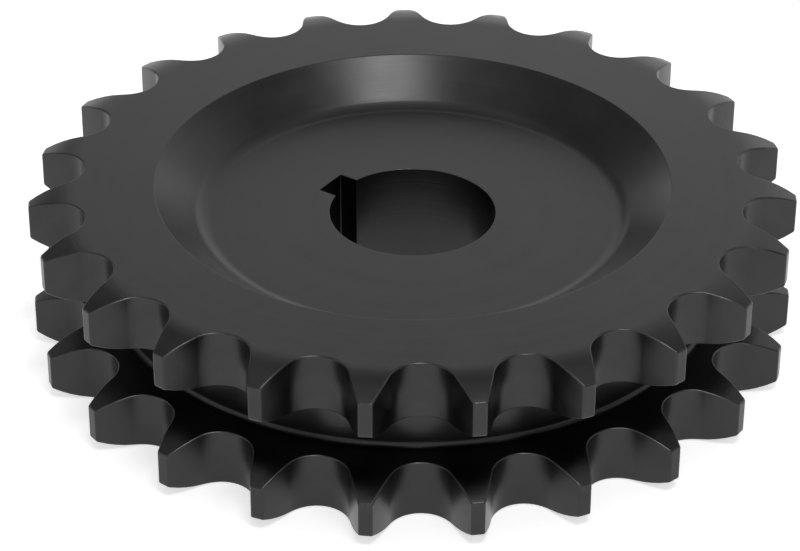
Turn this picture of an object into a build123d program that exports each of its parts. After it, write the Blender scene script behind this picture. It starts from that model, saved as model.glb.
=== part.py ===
from build123d import *
import math
import os

# Two-row plate sprocket for duplex roller chain of half-inch pitch, cut from one turned blank.
# Millimetres.  The origin is on the bore axis at the flat back face, and +Z runs along the axis
# towards the recessed front face.  +Y runs through the keyway and the tooth gap in line with it.

# Chain
CHAIN_PITCH = 12.7
ROLLER_DIAMETER = 7.92
ROW_PITCH = 14.38

# Teeth
TOOTH_COUNT = 23
TOOTH_WIDTH = 7.6
TIP_ABOVE_PITCH_CIRCLE = 2.65
SEAT_CLEARANCE = 0.17
SEAT_ANGLE = 130.0
FLANK_RADIUS = 42.0

# Rounded shoulders that narrow each row towards its tips
SHOULDER_WIDTH = 1.5
SHOULDER_RADIUS = 12.7

# Groove between the rows
GROOVE_BELOW_ROOT = 3.3
GROOVE_FILLET = 0.8

# Dished recess in the front face
RECESS_DEPTH = 5.0
RIM_WIDTH = 9.3
RECESS_WALL_RUN = 6.0
RECESS_FILLET = 3.5
MOUTH_CHAMFER = 0.3

# Bore and keyway
BORE_DIAMETER = 21.43
BORE_CHAMFER = 0.1
KEYWAY_WIDTH = 4.76
KEYWAY_DEPTH = 2.3
KEYWAY_AZIMUTH = 90.0

TOOTH_ANGLE = 360.0 / TOOTH_COUNT
PITCH_RADIUS = CHAIN_PITCH / (2 * math.sin(math.radians(TOOTH_ANGLE / 2)))
TIP_RADIUS = PITCH_RADIUS + TIP_ABOVE_PITCH_CIRCLE
SEAT_RADIUS = ROLLER_DIAMETER / 2 + SEAT_CLEARANCE
ROOT_RADIUS = PITCH_RADIUS - SEAT_RADIUS
SHOULDER_REACH = math.sqrt(2 * SHOULDER_RADIUS * SHOULDER_WIDTH - SHOULDER_WIDTH**2)
SHOULDER_START = TIP_RADIUS - SHOULDER_REACH
GROOVE_RADIUS = ROOT_RADIUS - GROOVE_BELOW_ROOT
MOUTH_RADIUS = ROOT_RADIUS - RIM_WIDTH
FLOOR_RADIUS = MOUTH_RADIUS - RECESS_WALL_RUN
BORE_RADIUS = BORE_DIAMETER / 2
OVERALL_WIDTH = ROW_PITCH + TOOTH_WIDTH
FLOOR_HEIGHT = OVERALL_WIDTH - RECESS_DEPTH


def row_outline(bottom):
    """Outer outline of one row, from its lower side face at bottom round to its upper one."""
    top = bottom + TOOTH_WIDTH
    low_start = (SHOULDER_START, bottom)
    low_end = (TIP_RADIUS, bottom + SHOULDER_WIDTH)
    high_start = (TIP_RADIUS, top - SHOULDER_WIDTH)
    high_end = (SHOULDER_START, top)
    return [
        TangentArc(low_start, low_end, tangent=(1, 0)),
        Line(low_end, high_start),
        TangentArc(high_end, high_start, tangent=(1, 0)),
    ]


def turned_section():
    """Half section of the blank: X is the radius and Y the height above the back face."""
    back_bore = (BORE_RADIUS, 0)
    low_row_top = (SHOULDER_START, TOOTH_WIDTH)
    groove_low = (GROOVE_RADIUS, TOOTH_WIDTH)
    groove_high = (GROOVE_RADIUS, ROW_PITCH)
    high_row_bottom = (SHOULDER_START, ROW_PITCH)
    high_row_top = (SHOULDER_START, OVERALL_WIDTH)
    mouth = (MOUTH_RADIUS, OVERALL_WIDTH)
    floor_edge = (FLOOR_RADIUS, FLOOR_HEIGHT)
    front_bore = (BORE_RADIUS, FLOOR_HEIGHT)
    outline = [Line(back_bore, (SHOULDER_START, 0))]
    outline += row_outline(0)
    outline += [Polyline(low_row_top, groove_low, groove_high, high_row_bottom)]
    outline += row_outline(ROW_PITCH)
    outline += [Polyline(high_row_top, mouth, floor_edge, front_bore, back_bore)]
    section = make_face(Curve() + outline)

    def corners(*places):
        return [section.vertices().sort_by_distance((x, y, 0))[0] for x, y in places]

    section = fillet(corners(groove_low, groove_high), GROOVE_FILLET)
    section = fillet(corners(floor_edge), RECESS_FILLET)
    section = chamfer(corners(mouth), MOUTH_CHAMFER)
    section = chamfer(corners(back_bore, front_bore), BORE_CHAMFER)
    return section


def gap_cutter():
    """Prism of one tooth gap on the +X side: a roller seat between two convex flanks."""
    half_seat = math.radians(SEAT_ANGLE / 2)
    seat_end = Vector(
        PITCH_RADIUS - SEAT_RADIUS * math.cos(half_seat), SEAT_RADIUS * math.sin(half_seat)
    )
    flank_centre = seat_end + FLANK_RADIUS * Vector(-math.cos(half_seat), math.sin(half_seat))
    outer_radius = TIP_RADIUS + SHOULDER_WIDTH
    reach = flank_centre.length
    cosine = (reach**2 + outer_radius**2 - FLANK_RADIUS**2) / (2 * reach * outer_radius)
    outer_angle = math.atan2(flank_centre.Y, flank_centre.X) - math.acos(cosine)
    outer_end = outer_radius * Vector(math.cos(outer_angle), math.sin(outer_angle))
    flank_start = Vector(math.sin(half_seat), math.cos(half_seat))
    upper_flank = TangentArc(seat_end, outer_end, tangent=flank_start)
    lower_flank = mirror(upper_flank, about=Plane.XZ)
    seat = ThreePointArc(
        (seat_end.X, -seat_end.Y), (ROOT_RADIUS, 0), (seat_end.X, seat_end.Y)
    )
    mouth = Line((outer_end.X, -outer_end.Y), (outer_end.X, outer_end.Y))
    face = make_face(Curve() + [upper_flank, lower_flank, seat, mouth])
    return extrude(face, OVERALL_WIDTH)


def keyway_cutter():
    """Slot through the bore's wall, from the back face to the recess floor."""
    length = BORE_RADIUS + KEYWAY_DEPTH
    block = Box(
        length, KEYWAY_WIDTH, FLOOR_HEIGHT, align=(Align.MIN, Align.CENTER, Align.MIN)
    )
    return Rot(0, 0, KEYWAY_AZIMUTH) * block


def sprocket():
    blank = revolve(Plane.XZ * turned_section(), Axis.Z)
    gap = gap_cutter()
    gaps = [Rot(0, 0, KEYWAY_AZIMUTH + i * TOOTH_ANGLE) * gap for i in range(TOOTH_COUNT)]
    return blank - gaps - keyway_cutter()


os.makedirs("parts", exist_ok=True)
body = sprocket()
body.label = "sprocket"
export_step(body, "parts/sprocket.step")
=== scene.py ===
import cmath
import math

import bmesh
import bpy
from mathutils import Matrix, Vector


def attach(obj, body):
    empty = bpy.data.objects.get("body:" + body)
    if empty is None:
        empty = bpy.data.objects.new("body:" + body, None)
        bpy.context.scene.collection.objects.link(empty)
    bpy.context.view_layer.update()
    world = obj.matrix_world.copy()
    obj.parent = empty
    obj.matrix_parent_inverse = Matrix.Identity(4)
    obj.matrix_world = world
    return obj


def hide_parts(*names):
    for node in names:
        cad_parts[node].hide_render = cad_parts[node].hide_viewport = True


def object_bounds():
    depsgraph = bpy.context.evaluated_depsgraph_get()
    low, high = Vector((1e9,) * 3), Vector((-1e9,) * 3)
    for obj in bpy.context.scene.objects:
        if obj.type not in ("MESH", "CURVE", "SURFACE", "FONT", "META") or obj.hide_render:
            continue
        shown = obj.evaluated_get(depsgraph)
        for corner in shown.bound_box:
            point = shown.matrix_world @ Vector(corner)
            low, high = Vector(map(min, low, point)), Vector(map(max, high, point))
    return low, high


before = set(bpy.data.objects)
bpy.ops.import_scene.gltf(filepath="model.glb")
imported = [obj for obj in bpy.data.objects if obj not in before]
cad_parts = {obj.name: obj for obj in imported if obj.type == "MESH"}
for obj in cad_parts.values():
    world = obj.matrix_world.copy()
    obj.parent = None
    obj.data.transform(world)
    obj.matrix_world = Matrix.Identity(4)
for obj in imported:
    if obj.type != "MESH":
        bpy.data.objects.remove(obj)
cad_low, cad_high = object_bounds()

# Lengths of the part are in millimetres, like its solid's, and turn into metres with the mesh
METRES = 0.001

# Chain, teeth and shoulders; the tips stop a micron short of the solid's, to stay in its box
CHAIN_PITCH = 12.7
ROW_PITCH = 14.38
TOOTH_COUNT = 23
TOOTH_WIDTH = 7.6
TIP_ABOVE_PITCH_CIRCLE = 2.649
SEAT_RADIUS = 4.13
HALF_SEAT = math.radians(65.0)
FLANK_RADIUS = 42.0
SHOULDER_WIDTH = 1.5
SHOULDER_RADIUS = 12.7

# Groove between the rows and dish in the front face
GROOVE_BELOW_ROOT = 3.3
GROOVE_FILLET = 0.8
RECESS_DEPTH = 5.0
RIM_WIDTH = 9.3
RECESS_WALL_RUN = 6.0
RECESS_FILLET = 3.5
MOUTH_ROUND = 0.2

# Bore and keyway
BORE_RADIUS = 10.715
KEYWAY_WIDTH = 4.76
KEYWAY_DEPTH = 2.3
KEYWAY_CORNER = 0.2
KEYWAY_AZIMUTH = math.radians(90.0)

# Broken edges
EDGE_ROUND = 0.22
TIP_CORNER_ROUND = 0.35
BORE_EDGE_ROUND = 0.1

# Fineness of the mesh: segments of each half outline and of each rounding
SEAT_STEPS = 8
FLANK_STEPS = 4
CORNER_STEPS = 4
LAND_STEPS = 1
FACE_STEPS = 8
EDGE_STEPS = 3
FILLET_STEPS = 8
BORE_STEPS = 48
CIRCLE_STEPS = 360

# Width of the flat bands that join the strips, and how near two neighbours are one point
STITCH_GAP = 0.3
SAME_PLACE = 0.000001

TOOTH_ANGLE = 2 * math.pi / TOOTH_COUNT
PITCH_RADIUS = CHAIN_PITCH / (2 * math.sin(TOOTH_ANGLE / 2))
TIP_RADIUS = PITCH_RADIUS + TIP_ABOVE_PITCH_CIRCLE
ROOT_RADIUS = PITCH_RADIUS - SEAT_RADIUS
SHOULDER_REACH = math.sqrt(2 * SHOULDER_RADIUS * SHOULDER_WIDTH - SHOULDER_WIDTH**2)
SHOULDER_START = TIP_RADIUS - SHOULDER_REACH
GROOVE_RADIUS = ROOT_RADIUS - GROOVE_BELOW_ROOT
FACE_INNER_RADIUS = GROOVE_RADIUS + GROOVE_FILLET + 2 * STITCH_GAP
MOUTH_RADIUS = ROOT_RADIUS - RIM_WIDTH
FLOOR_RADIUS = MOUTH_RADIUS - RECESS_WALL_RUN
OVERALL_WIDTH = ROW_PITCH + TOOTH_WIDTH
FLOOR_HEIGHT = OVERALL_WIDTH - RECESS_DEPTH

# Colour sockets of the mix node, given by number because its other sockets share their names
MIX_FIRST = 6
MIX_SECOND = 7
MIX_RESULT = 2

# Blackened steel: scale per metre and detail of each noise, colours, roughness, and bump
# heights in metres
MARK_NOISE = (3500.0, 3.0)
BAND_NOISE = (420.0, 2.0)
MOTTLE_NOISE = (160.0, 5.0)
GRAIN_NOISE = (7000.0, 2.0)
RUB_NOISE = (500.0, 4.0)
BAND_SHARE = 0.5
LIGHT_OXIDE_SHARE = 0.67
DARK_OXIDE = (0.036, 0.036, 0.037, 1)
LIGHT_OXIDE = (0.061, 0.061, 0.0615, 1)
RUBBED_STEEL = (0.11, 0.11, 0.11, 1)
UNEVEN_LOW = 0.4
UNEVEN_HIGH = 1.1
SMOOTH_ROUGHNESS = 0.27
DULL_ROUGHNESS = 0.37
GRAIN_HEIGHT = 0.000002
MARK_HEIGHT = 0.000008

# Camera, aimed at a point of the front face's plane; lengths in metres from here on
SENSOR_WIDTH_MM = 36.0
VIEW_HEADING = math.radians(33.92)
VIEW_ELEVATION = math.radians(32.50)
VIEW_ROLL = math.radians(0.21)
CAMERA_DISTANCE = 0.3793
FOCAL_LENGTH_MM = 139.7
AIM_RIGHT = -0.00159
AIM_FORWARD = -0.02340
NEAREST_SEEN = 0.01

# Floor and world
FLOOR_HALF_WIDTH = 6.0
FLOOR_BELOW_PART = 0.00005
FLOOR_COLOUR = 0.8
FLOOR_GLOW = 0.6
WORLD_GREY = 0.3

# Lights: name, way to it (right of, along and above the camera's heading), distance, width,
# height and brightness of its surface
LIGHTS = (
    ("overhead", (0.130, -0.339, 0.93), 1.0, 0.30, 0.25, 11.0),
    ("back_panel", (0.2, 0.857, 0.44), 1.2, 1.1, 0.95, 0.6),
    ("low_panel", (0.3, 0.92, 0.3), 1.2, 0.9, 0.3, 0.4),
    ("side_panel", (0.9, 0.35, 0.35), 1.2, 1.2, 0.8, 0.6),
    ("front_panel", (0.0, -0.87, 0.5), 1.2, 1.1, 0.8, 0.5),
    ("left_panel", (-0.9, -0.25, 0.35), 1.2, 1.2, 0.8, 0.35),
    ("low_left_panel", (-0.52, 0.83, 0.14), 1.2, 0.9, 0.4, 0.75),
    ("ceiling", (0.0, 0.1, 1.0), 1.0, 1.0, 0.8, 0.3),
)


def arc(centre, radius, start, end, steps, side):
    """Points of an arc, the last left out, each with the way out of the metal beside it."""
    turns = [start + (end - start) * k / steps for k in range(steps)]
    return [(centre + cmath.rect(radius, a), side * cmath.rect(1, a)) for a in turns]


def mirrored(half):
    """Half an outline on the other side of the X axis, from its end back to its second point."""
    return [(p.conjugate(), n.conjugate()) for p, n in reversed(half[1:])]


def turned_by(outline, angle):
    """Outline turned about the origin."""
    turn = cmath.rect(1, angle)
    return [(p * turn, n * turn) for p, n in outline]


def tooth_outline():
    """Outline of a row, anticlockwise from the middle of the gap in line with the keyway."""
    flank_centre = PITCH_RADIUS + cmath.rect(SEAT_RADIUS + FLANK_RADIUS, math.pi - HALF_SEAT)
    corner_reach = TIP_RADIUS - TIP_CORNER_ROUND
    flank_reach = FLANK_RADIUS - TIP_CORNER_ROUND
    spread = abs(flank_centre) ** 2 + corner_reach**2 - flank_reach**2
    spread = math.acos(spread / (2 * abs(flank_centre) * corner_reach))
    corner = cmath.rect(corner_reach, cmath.phase(flank_centre) - spread)
    flank_end = cmath.phase(corner - flank_centre)
    land_start = cmath.phase(corner)
    half = arc(PITCH_RADIUS, SEAT_RADIUS, math.pi, math.pi - HALF_SEAT, SEAT_STEPS, -1)
    half += arc(flank_centre, FLANK_RADIUS, -HALF_SEAT, flank_end, FLANK_STEPS, 1)
    half += arc(corner, TIP_CORNER_ROUND, flank_end, land_start, CORNER_STEPS, 1)
    half += arc(0, TIP_RADIUS, land_start, TOOTH_ANGLE / 2, LAND_STEPS, 1)
    last = (cmath.rect(TIP_RADIUS, TOOTH_ANGLE / 2), cmath.rect(1, TOOTH_ANGLE / 2))
    outline = []
    for i in range(TOOTH_COUNT):
        outline += turned_by(half + [last], KEYWAY_AZIMUTH + i * TOOTH_ANGLE)
        outline += turned_by(mirrored(half), KEYWAY_AZIMUTH + (i + 1) * TOOTH_ANGLE)
    return outline


def bore_outline():
    """Outline of the bore and its keyway, anticlockwise from the middle of the keyway's floor."""
    wall = KEYWAY_WIDTH / 2
    floor = BORE_RADIUS + KEYWAY_DEPTH
    inner_corner = complex(floor - KEYWAY_CORNER, wall - KEYWAY_CORNER)
    edge_reach = BORE_RADIUS + BORE_EDGE_ROUND
    edge_height = wall + BORE_EDGE_ROUND
    edge = complex(math.sqrt(edge_reach**2 - edge_height**2), edge_height)
    edge_end = cmath.phase(edge) - math.pi
    half = [(complex(floor, 0), -1 + 0j)]
    half += arc(inner_corner, KEYWAY_CORNER, 0, math.pi / 2, CORNER_STEPS, -1)
    half += [(complex(inner_corner.real, wall), -1j)]
    half += arc(edge, BORE_EDGE_ROUND, -math.pi / 2, edge_end, CORNER_STEPS, 1)
    half += arc(0, BORE_RADIUS, cmath.phase(edge), math.pi, BORE_STEPS, -1)
    last = (complex(-BORE_RADIUS, 0), 1 + 0j)
    return turned_by(half + [last] + mirrored(half), KEYWAY_AZIMUTH)


def angles_of(outline, inset):
    """Angle of each inset point past the keyway's middle, with a last one that closes the turn."""
    start = cmath.rect(1, -KEYWAY_AZIMUTH)
    angles = [cmath.phase((p - n * inset) * start) % (2 * math.pi) for p, n in outline[1:]]
    return [0.0] + angles + [2 * math.pi]


# A ring is a list of (place, height, lean, rise): a point's place in plan as a complex number,
# its height, and the level and upright parts of the way out of the metal there.


def row_face(outline, height, side):
    """Rings over a side face of a row, from the face's inner circle to the tooth walls.

    side is 1 on a face that looks along +Z, and -1 on one that looks along -Z.
    """
    rings = []
    for k in range(FACE_STEPS + 1):
        ring = []
        for point, normal in outline:
            edge = point - normal * EDGE_ROUND
            out = edge / abs(edge)
            radius = FACE_INNER_RADIUS + (abs(edge) - FACE_INNER_RADIUS) * k / FACE_STEPS
            slope = shoulder_slope(radius)
            level = height - side * SHOULDER_RADIUS * (1 - math.cos(slope))
            ring.append((out * radius, level, out * math.sin(slope), side * math.cos(slope)))
        rings.append((0.0, ring))
    for k in range(1, EDGE_STEPS + 1):
        turn = math.pi / 2 * k / EDGE_STEPS
        ring = []
        for point, normal in outline:
            spot = point - normal * EDGE_ROUND * (1 - math.sin(turn))
            slope = shoulder_slope(abs(spot))
            drop = SHOULDER_RADIUS * (1 - math.cos(slope)) + EDGE_ROUND * (1 - math.cos(turn))
            lean = spot / abs(spot) * math.sin(slope) * math.cos(turn) + normal * math.sin(turn)
            ring.append((spot, height - side * drop, lean, side * math.cos(slope) * math.cos(turn)))
        rings.append((math.sin(2 * turn), ring))
    return rings


def shoulder_slope(radius):
    """Angle by which a row's side face has turned away from its plane at a radius."""
    return math.asin(max(0.0, radius - SHOULDER_START) / SHOULDER_RADIUS)


def turned_profile(places):
    """Profile through (radius, height, rounding) places, with an arc at each that has rounding.

    Radius and height are the parts of one complex number.  The metal lies to the left of the
    way along the profile, so the way out of it is the way along, turned right.
    """
    profile = []
    corners = [complex(radius, height) for radius, height, _ in places]
    ways = [(two - one) / abs(two - one) for one, two in zip(corners, corners[1:])]
    for k, (_, _, rounding) in enumerate(places):
        before = ways[max(k - 1, 0)]
        after = ways[min(k, len(ways) - 1)]
        turning = cmath.phase(after / before)
        start = corners[k] - before * rounding * math.tan(abs(turning) / 2)
        centre = start + before * 1j * math.copysign(rounding, turning)
        steps = FILLET_STEPS if rounding else 0
        for j in range(steps + 1):
            turn = cmath.rect(1, turning * j / max(steps, 1))
            profile.append((centre + (start - centre) * turn, before * turn * -1j))
    return profile


def circles(profile, angles):
    """Rings round the axis for a turned profile, with a point at each angle but the last."""
    rings = []
    for place, out in profile:
        ways = [cmath.rect(1, a + KEYWAY_AZIMUTH) for a in angles[:-1]]
        ring = [(way * place.real, place.imag, way * out.real, out.imag) for way in ways]
        rings.append((0.0, ring))
    return rings


def bore_rings(outline):
    """Rings down the bore's wall, from the recess floor to the back face."""
    rings = []
    for height, side in ((FLOOR_HEIGHT, 1), (0.0, -1)):
        edge = []
        for k in range(EDGE_STEPS + 1):
            turn = math.pi / 2 * k / EDGE_STEPS
            inset = BORE_EDGE_ROUND * (1 - math.sin(turn))
            level = height - side * BORE_EDGE_ROUND * (1 - math.cos(turn))
            rise = side * math.cos(turn)
            ring = [(p - n * inset, level, n * math.sin(turn), rise) for p, n in outline]
            edge.append((math.sin(2 * turn), ring))
        rings += edge[::side]
    return rings


class Skin:
    """Closed skin: its points, ways out of the metal, faces, and how far each point is an edge."""

    def __init__(self):
        self.points = []
        self.normals = []
        self.faces = []
        self.wear = []

    def add_ring(self, wear, ring):
        """Index of each point of a ring; neighbours that fall together are one point."""
        loop = []
        before = None
        for place, height, lean, rise in ring:
            if before is None or abs(place - before) > SAME_PLACE:
                self.points.append((place.real * METRES, place.imag * METRES, height * METRES))
                self.normals.append(Vector((lean.real, lean.imag, rise)).normalized())
                self.wear.append(wear)
            loop.append(len(self.points) - 1)
            before = place
        return loop

    def add_face(self, *corners):
        """Face through its separate corners, or none where fewer than three are left."""
        separate = list(dict.fromkeys(corners))
        if len(separate) > 2:
            self.faces.append(separate)

    def add_strips(self, rings):
        """Quads between each ring and the next; the first and last rings are given back."""
        loops = [self.add_ring(wear, ring) for wear, ring in rings]
        for one, two in zip(loops, loops[1:]):
            count = len(one)
            for k in range(count):
                after = (k + 1) % count
                self.add_face(one[k], one[after], two[after], two[k])
        return loops[0], loops[-1]

    def stitch(self, one, one_angles, two, two_angles):
        """Triangles between two rings of one flat face that differ in their number of points."""
        i = j = 0
        while i < len(one) or j < len(two):
            here = one[i % len(one)]
            there = two[j % len(two)]
            along_one = j == len(two)
            if i < len(one) and j < len(two):
                along_one = one_angles[i + 1] <= two_angles[j + 1]
            if along_one:
                i += 1
                self.add_face(here, one[i % len(one)], there)
            else:
                j += 1
                self.add_face(here, two[j % len(two)], there)

    def mesh(self, name):
        """Mesh of the skin, shaded by its own ways out of the metal."""
        mesh = bpy.data.meshes.new(name)
        mesh.from_pydata(self.points, [], self.faces)
        form = bmesh.new()
        form.from_mesh(mesh)
        bmesh.ops.recalc_face_normals(form, faces=form.faces)
        for face in form.faces:
            face.smooth = True
        form.to_mesh(mesh)
        form.free()
        mesh.normals_split_custom_set_from_vertices(self.normals)
        wear = mesh.attributes.new("edge_wear", "FLOAT", "POINT")
        wear.data.foreach_set("value", self.wear)
        return mesh


def sprocket_mesh():
    """One closed skin, in five strips that are stitched together on the flat faces."""
    teeth = tooth_outline()
    bore = bore_outline()
    tooth_angles = angles_of(teeth, EDGE_ROUND)
    bore_angles = angles_of(bore, BORE_EDGE_ROUND)
    even_angles = [2 * math.pi * k / CIRCLE_STEPS for k in range(CIRCLE_STEPS + 1)]
    circle_start = FACE_INNER_RADIUS - STITCH_GAP
    groove = turned_profile([
        (circle_start, TOOTH_WIDTH, 0),
        (GROOVE_RADIUS, TOOTH_WIDTH, GROOVE_FILLET),
        (GROOVE_RADIUS, ROW_PITCH, GROOVE_FILLET),
        (circle_start, ROW_PITCH, 0),
    ])
    dish = turned_profile([
        (circle_start, OVERALL_WIDTH, 0),
        (MOUTH_RADIUS, OVERALL_WIDTH, MOUTH_ROUND),
        (FLOOR_RADIUS, FLOOR_HEIGHT, RECESS_FILLET),
        (BORE_RADIUS + KEYWAY_DEPTH + STITCH_GAP, FLOOR_HEIGHT, 0),
    ])
    low_row = row_face(teeth, 0.0, -1) + row_face(teeth, TOOTH_WIDTH, 1)[::-1]
    high_row = row_face(teeth, ROW_PITCH, -1) + row_face(teeth, OVERALL_WIDTH, 1)[::-1]
    skin = Skin()
    low_start, low_end = skin.add_strips(low_row)
    groove_low, groove_high = skin.add_strips(circles(groove, even_angles))
    high_start, high_end = skin.add_strips(high_row)
    dish_start, dish_end = skin.add_strips(circles(dish, even_angles))
    bore_front, bore_back = skin.add_strips(bore_rings(bore))
    skin.stitch(low_start, tooth_angles, bore_back, bore_angles)
    skin.stitch(low_end, tooth_angles, groove_low, even_angles)
    skin.stitch(groove_high, even_angles, high_start, tooth_angles)
    skin.stitch(high_end, tooth_angles, dish_start, even_angles)
    skin.stitch(dish_end, even_angles, bore_front, bore_angles)
    return skin.mesh("sprocket_body")


def make_sprocket():
    """Sprocket with its broken edges, standing for the plain solid."""
    piece = bpy.data.objects.new("sprocket_body", sprocket_mesh())
    bpy.context.scene.collection.objects.link(piece)
    piece.data.materials.append(blackened_steel())
    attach(piece, "root")
    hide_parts("sprocket")


def add_node(tree, kind, inputs, **settings):
    """Node with its settings, whose inputs are linked to sockets or set to values."""
    node = tree.nodes.new(kind)
    for name, value in settings.items():
        setattr(node, name, value)
    for key, value in inputs.items():
        if isinstance(value, bpy.types.NodeSocket):
            tree.links.new(value, node.inputs[key])
        else:
            node.inputs[key].default_value = value
    return node


def blackened_steel():
    """Black oxide over machined steel: turning marks, mottled oxide and lighter broken edges."""
    material = bpy.data.materials.new("blackened_steel")
    material.use_nodes = True
    tree = material.node_tree
    shader = tree.nodes["Principled BSDF"]
    shader.inputs["Metallic"].default_value = 1.0

    def math_node(operation, first, second):
        inputs = {0: first, 1: second}
        return add_node(tree, "ShaderNodeMath", inputs, operation=operation).outputs[0]

    def noise(scale, detail, **inputs):
        settings = {"Scale": scale, "Detail": detail, **inputs}
        dimensions = "1D" if "W" in inputs else "3D"
        made = add_node(tree, "ShaderNodeTexNoise", settings, noise_dimensions=dimensions)
        return made.outputs[0]

    def mix(share, first, second):
        inputs = {0: share, MIX_FIRST: first, MIX_SECOND: second}
        made = add_node(tree, "ShaderNodeMix", inputs, data_type="RGBA")
        return made.outputs[MIX_RESULT]

    def bump(height, distance, **inputs):
        settings = {"Height": height, "Distance": distance, **inputs}
        return add_node(tree, "ShaderNodeBump", settings).outputs[0]

    place = add_node(tree, "ShaderNodeTexCoord", {}).outputs["Object"]
    height = add_node(tree, "ShaderNodeSeparateXYZ", {"Vector": place}).outputs["Z"]
    level = add_node(tree, "ShaderNodeVectorMath", {0: place, 1: (1, 1, 0)}, operation="MULTIPLY")
    radius = add_node(tree, "ShaderNodeVectorMath", {0: level.outputs[0]}, operation="LENGTH")
    feed = math_node("ADD", radius.outputs["Value"], height)
    marks = noise(*MARK_NOISE, W=feed)
    bands = noise(*BAND_NOISE, W=feed)
    mottle = noise(*MOTTLE_NOISE, Vector=place)
    grain = noise(*GRAIN_NOISE, Vector=place)
    wear = add_node(tree, "ShaderNodeAttribute", {}, attribute_name="edge_wear").outputs["Fac"]

    uneven = math_node("ADD", mottle, math_node("MULTIPLY", bands, BAND_SHARE))
    oxide = mix(math_node("MULTIPLY", uneven, LIGHT_OXIDE_SHARE), DARK_OXIDE, LIGHT_OXIDE)
    rubbed = math_node("MULTIPLY", wear, noise(*RUB_NOISE, Vector=place))
    roughness_range = {
        "Value": uneven,
        "From Min": UNEVEN_LOW,
        "From Max": UNEVEN_HIGH,
        "To Min": SMOOTH_ROUGHNESS,
        "To Max": DULL_ROUGHNESS,
    }
    roughness = add_node(tree, "ShaderNodeMapRange", roughness_range).outputs[0]
    surface = bump(marks, MARK_HEIGHT, Normal=bump(grain, GRAIN_HEIGHT))
    tree.links.new(mix(rubbed, oxide, RUBBED_STEEL), shader.inputs["Base Color"])
    tree.links.new(roughness, shader.inputs["Roughness"])
    tree.links.new(surface, shader.inputs["Normal"])
    return material


def view_direction(right, forward, up):
    """Direction given by its parts to the right of, along and above the camera's heading."""
    heading = Vector((math.cos(VIEW_HEADING), math.sin(VIEW_HEADING), 0))
    across = Vector((heading.y, -heading.x, 0))
    return across * right + heading * forward + Vector((0, 0, up))


def make_camera():
    """Camera that looks down on the part, rolled about its own line of sight."""
    right = view_direction(1, 0, 0)
    forward = view_direction(0, 1, 0)
    up = Vector((0, 0, 1))
    aim = right * AIM_RIGHT + forward * AIM_FORWARD + up * cad_high[2]
    sight = forward * math.cos(VIEW_ELEVATION) - up * math.sin(VIEW_ELEVATION)
    camera_up = forward * math.sin(VIEW_ELEVATION) + up * math.cos(VIEW_ELEVATION)
    turn = Matrix((right, camera_up, -sight)).transposed() @ Matrix.Rotation(VIEW_ROLL, 3, "Z")
    data = bpy.data.cameras.new("camera")
    data.sensor_width = SENSOR_WIDTH_MM
    data.lens = FOCAL_LENGTH_MM
    data.clip_start = NEAREST_SEEN
    camera = bpy.data.objects.new("camera", data)
    place = aim - sight * CAMERA_DISTANCE
    camera.matrix_world = Matrix.LocRotScale(place, turn.to_quaternion(), None)
    bpy.context.scene.collection.objects.link(camera)
    bpy.context.scene.camera = camera


def make_floor():
    """White floor, which keeps the part's shadow and shows as white to the eye and to metal."""
    corners = [(-1, -1), (1, -1), (1, 1), (-1, 1)]
    corners = [(x * FLOOR_HALF_WIDTH, y * FLOOR_HALF_WIDTH, 0) for x, y in corners]
    mesh = bpy.data.meshes.new("floor")
    mesh.from_pydata(corners, [], [(0, 1, 2, 3)])
    floor = bpy.data.objects.new("floor", mesh)
    floor.location.z = cad_low[2] - FLOOR_BELOW_PART
    bpy.context.scene.collection.objects.link(floor)
    material = bpy.data.materials.new("floor_white")
    material.use_nodes = True
    tree = material.node_tree
    tree.nodes.clear()
    white = (FLOOR_COLOUR, FLOOR_COLOUR, FLOOR_COLOUR, 1)
    diffuse = add_node(tree, "ShaderNodeBsdfDiffuse", {"Color": white}).outputs[0]
    path = add_node(tree, "ShaderNodeLightPath", {})
    seen = {0: path.outputs["Is Camera Ray"], 1: path.outputs["Is Glossy Ray"]}
    seen = add_node(tree, "ShaderNodeMath", seen, operation="MAXIMUM").outputs[0]
    glow = add_node(tree, "ShaderNodeMath", {0: seen, 1: FLOOR_GLOW}, operation="MULTIPLY")
    glow = add_node(tree, "ShaderNodeEmission", {"Strength": glow.outputs[0]}).outputs[0]
    surface = add_node(tree, "ShaderNodeAddShader", {0: diffuse, 1: glow}).outputs[0]
    add_node(tree, "ShaderNodeOutputMaterial", {"Surface": surface})
    mesh.materials.append(material)


def make_light(name, way, distance, width, height, radiance):
    """Soft rectangular light that faces the part, given by the brightness of its surface."""
    data = bpy.data.lights.new(name, "AREA")
    data.shape = "RECTANGLE"
    data.size = width
    data.size_y = height
    data.energy = radiance * math.pi * width * height
    light = bpy.data.objects.new(name, data)
    towards = view_direction(*way).normalized()
    light.location = towards * distance
    light.rotation_euler = towards.to_track_quat("Z", "Y").to_euler()
    bpy.context.scene.collection.objects.link(light)


def make_world():
    """Plain grey surroundings."""
    world = bpy.data.worlds.new("studio")
    world.use_nodes = True
    back = world.node_tree.nodes["Background"]
    back.inputs["Color"].default_value = (1, 1, 1, 1)
    back.inputs["Strength"].default_value = WORLD_GREY
    bpy.context.scene.world = world


make_camera()
make_sprocket()
make_floor()
make_world()
for light in LIGHTS:
    make_light(*light)
bpy.context.scene.view_settings.view_transform = "Standard"
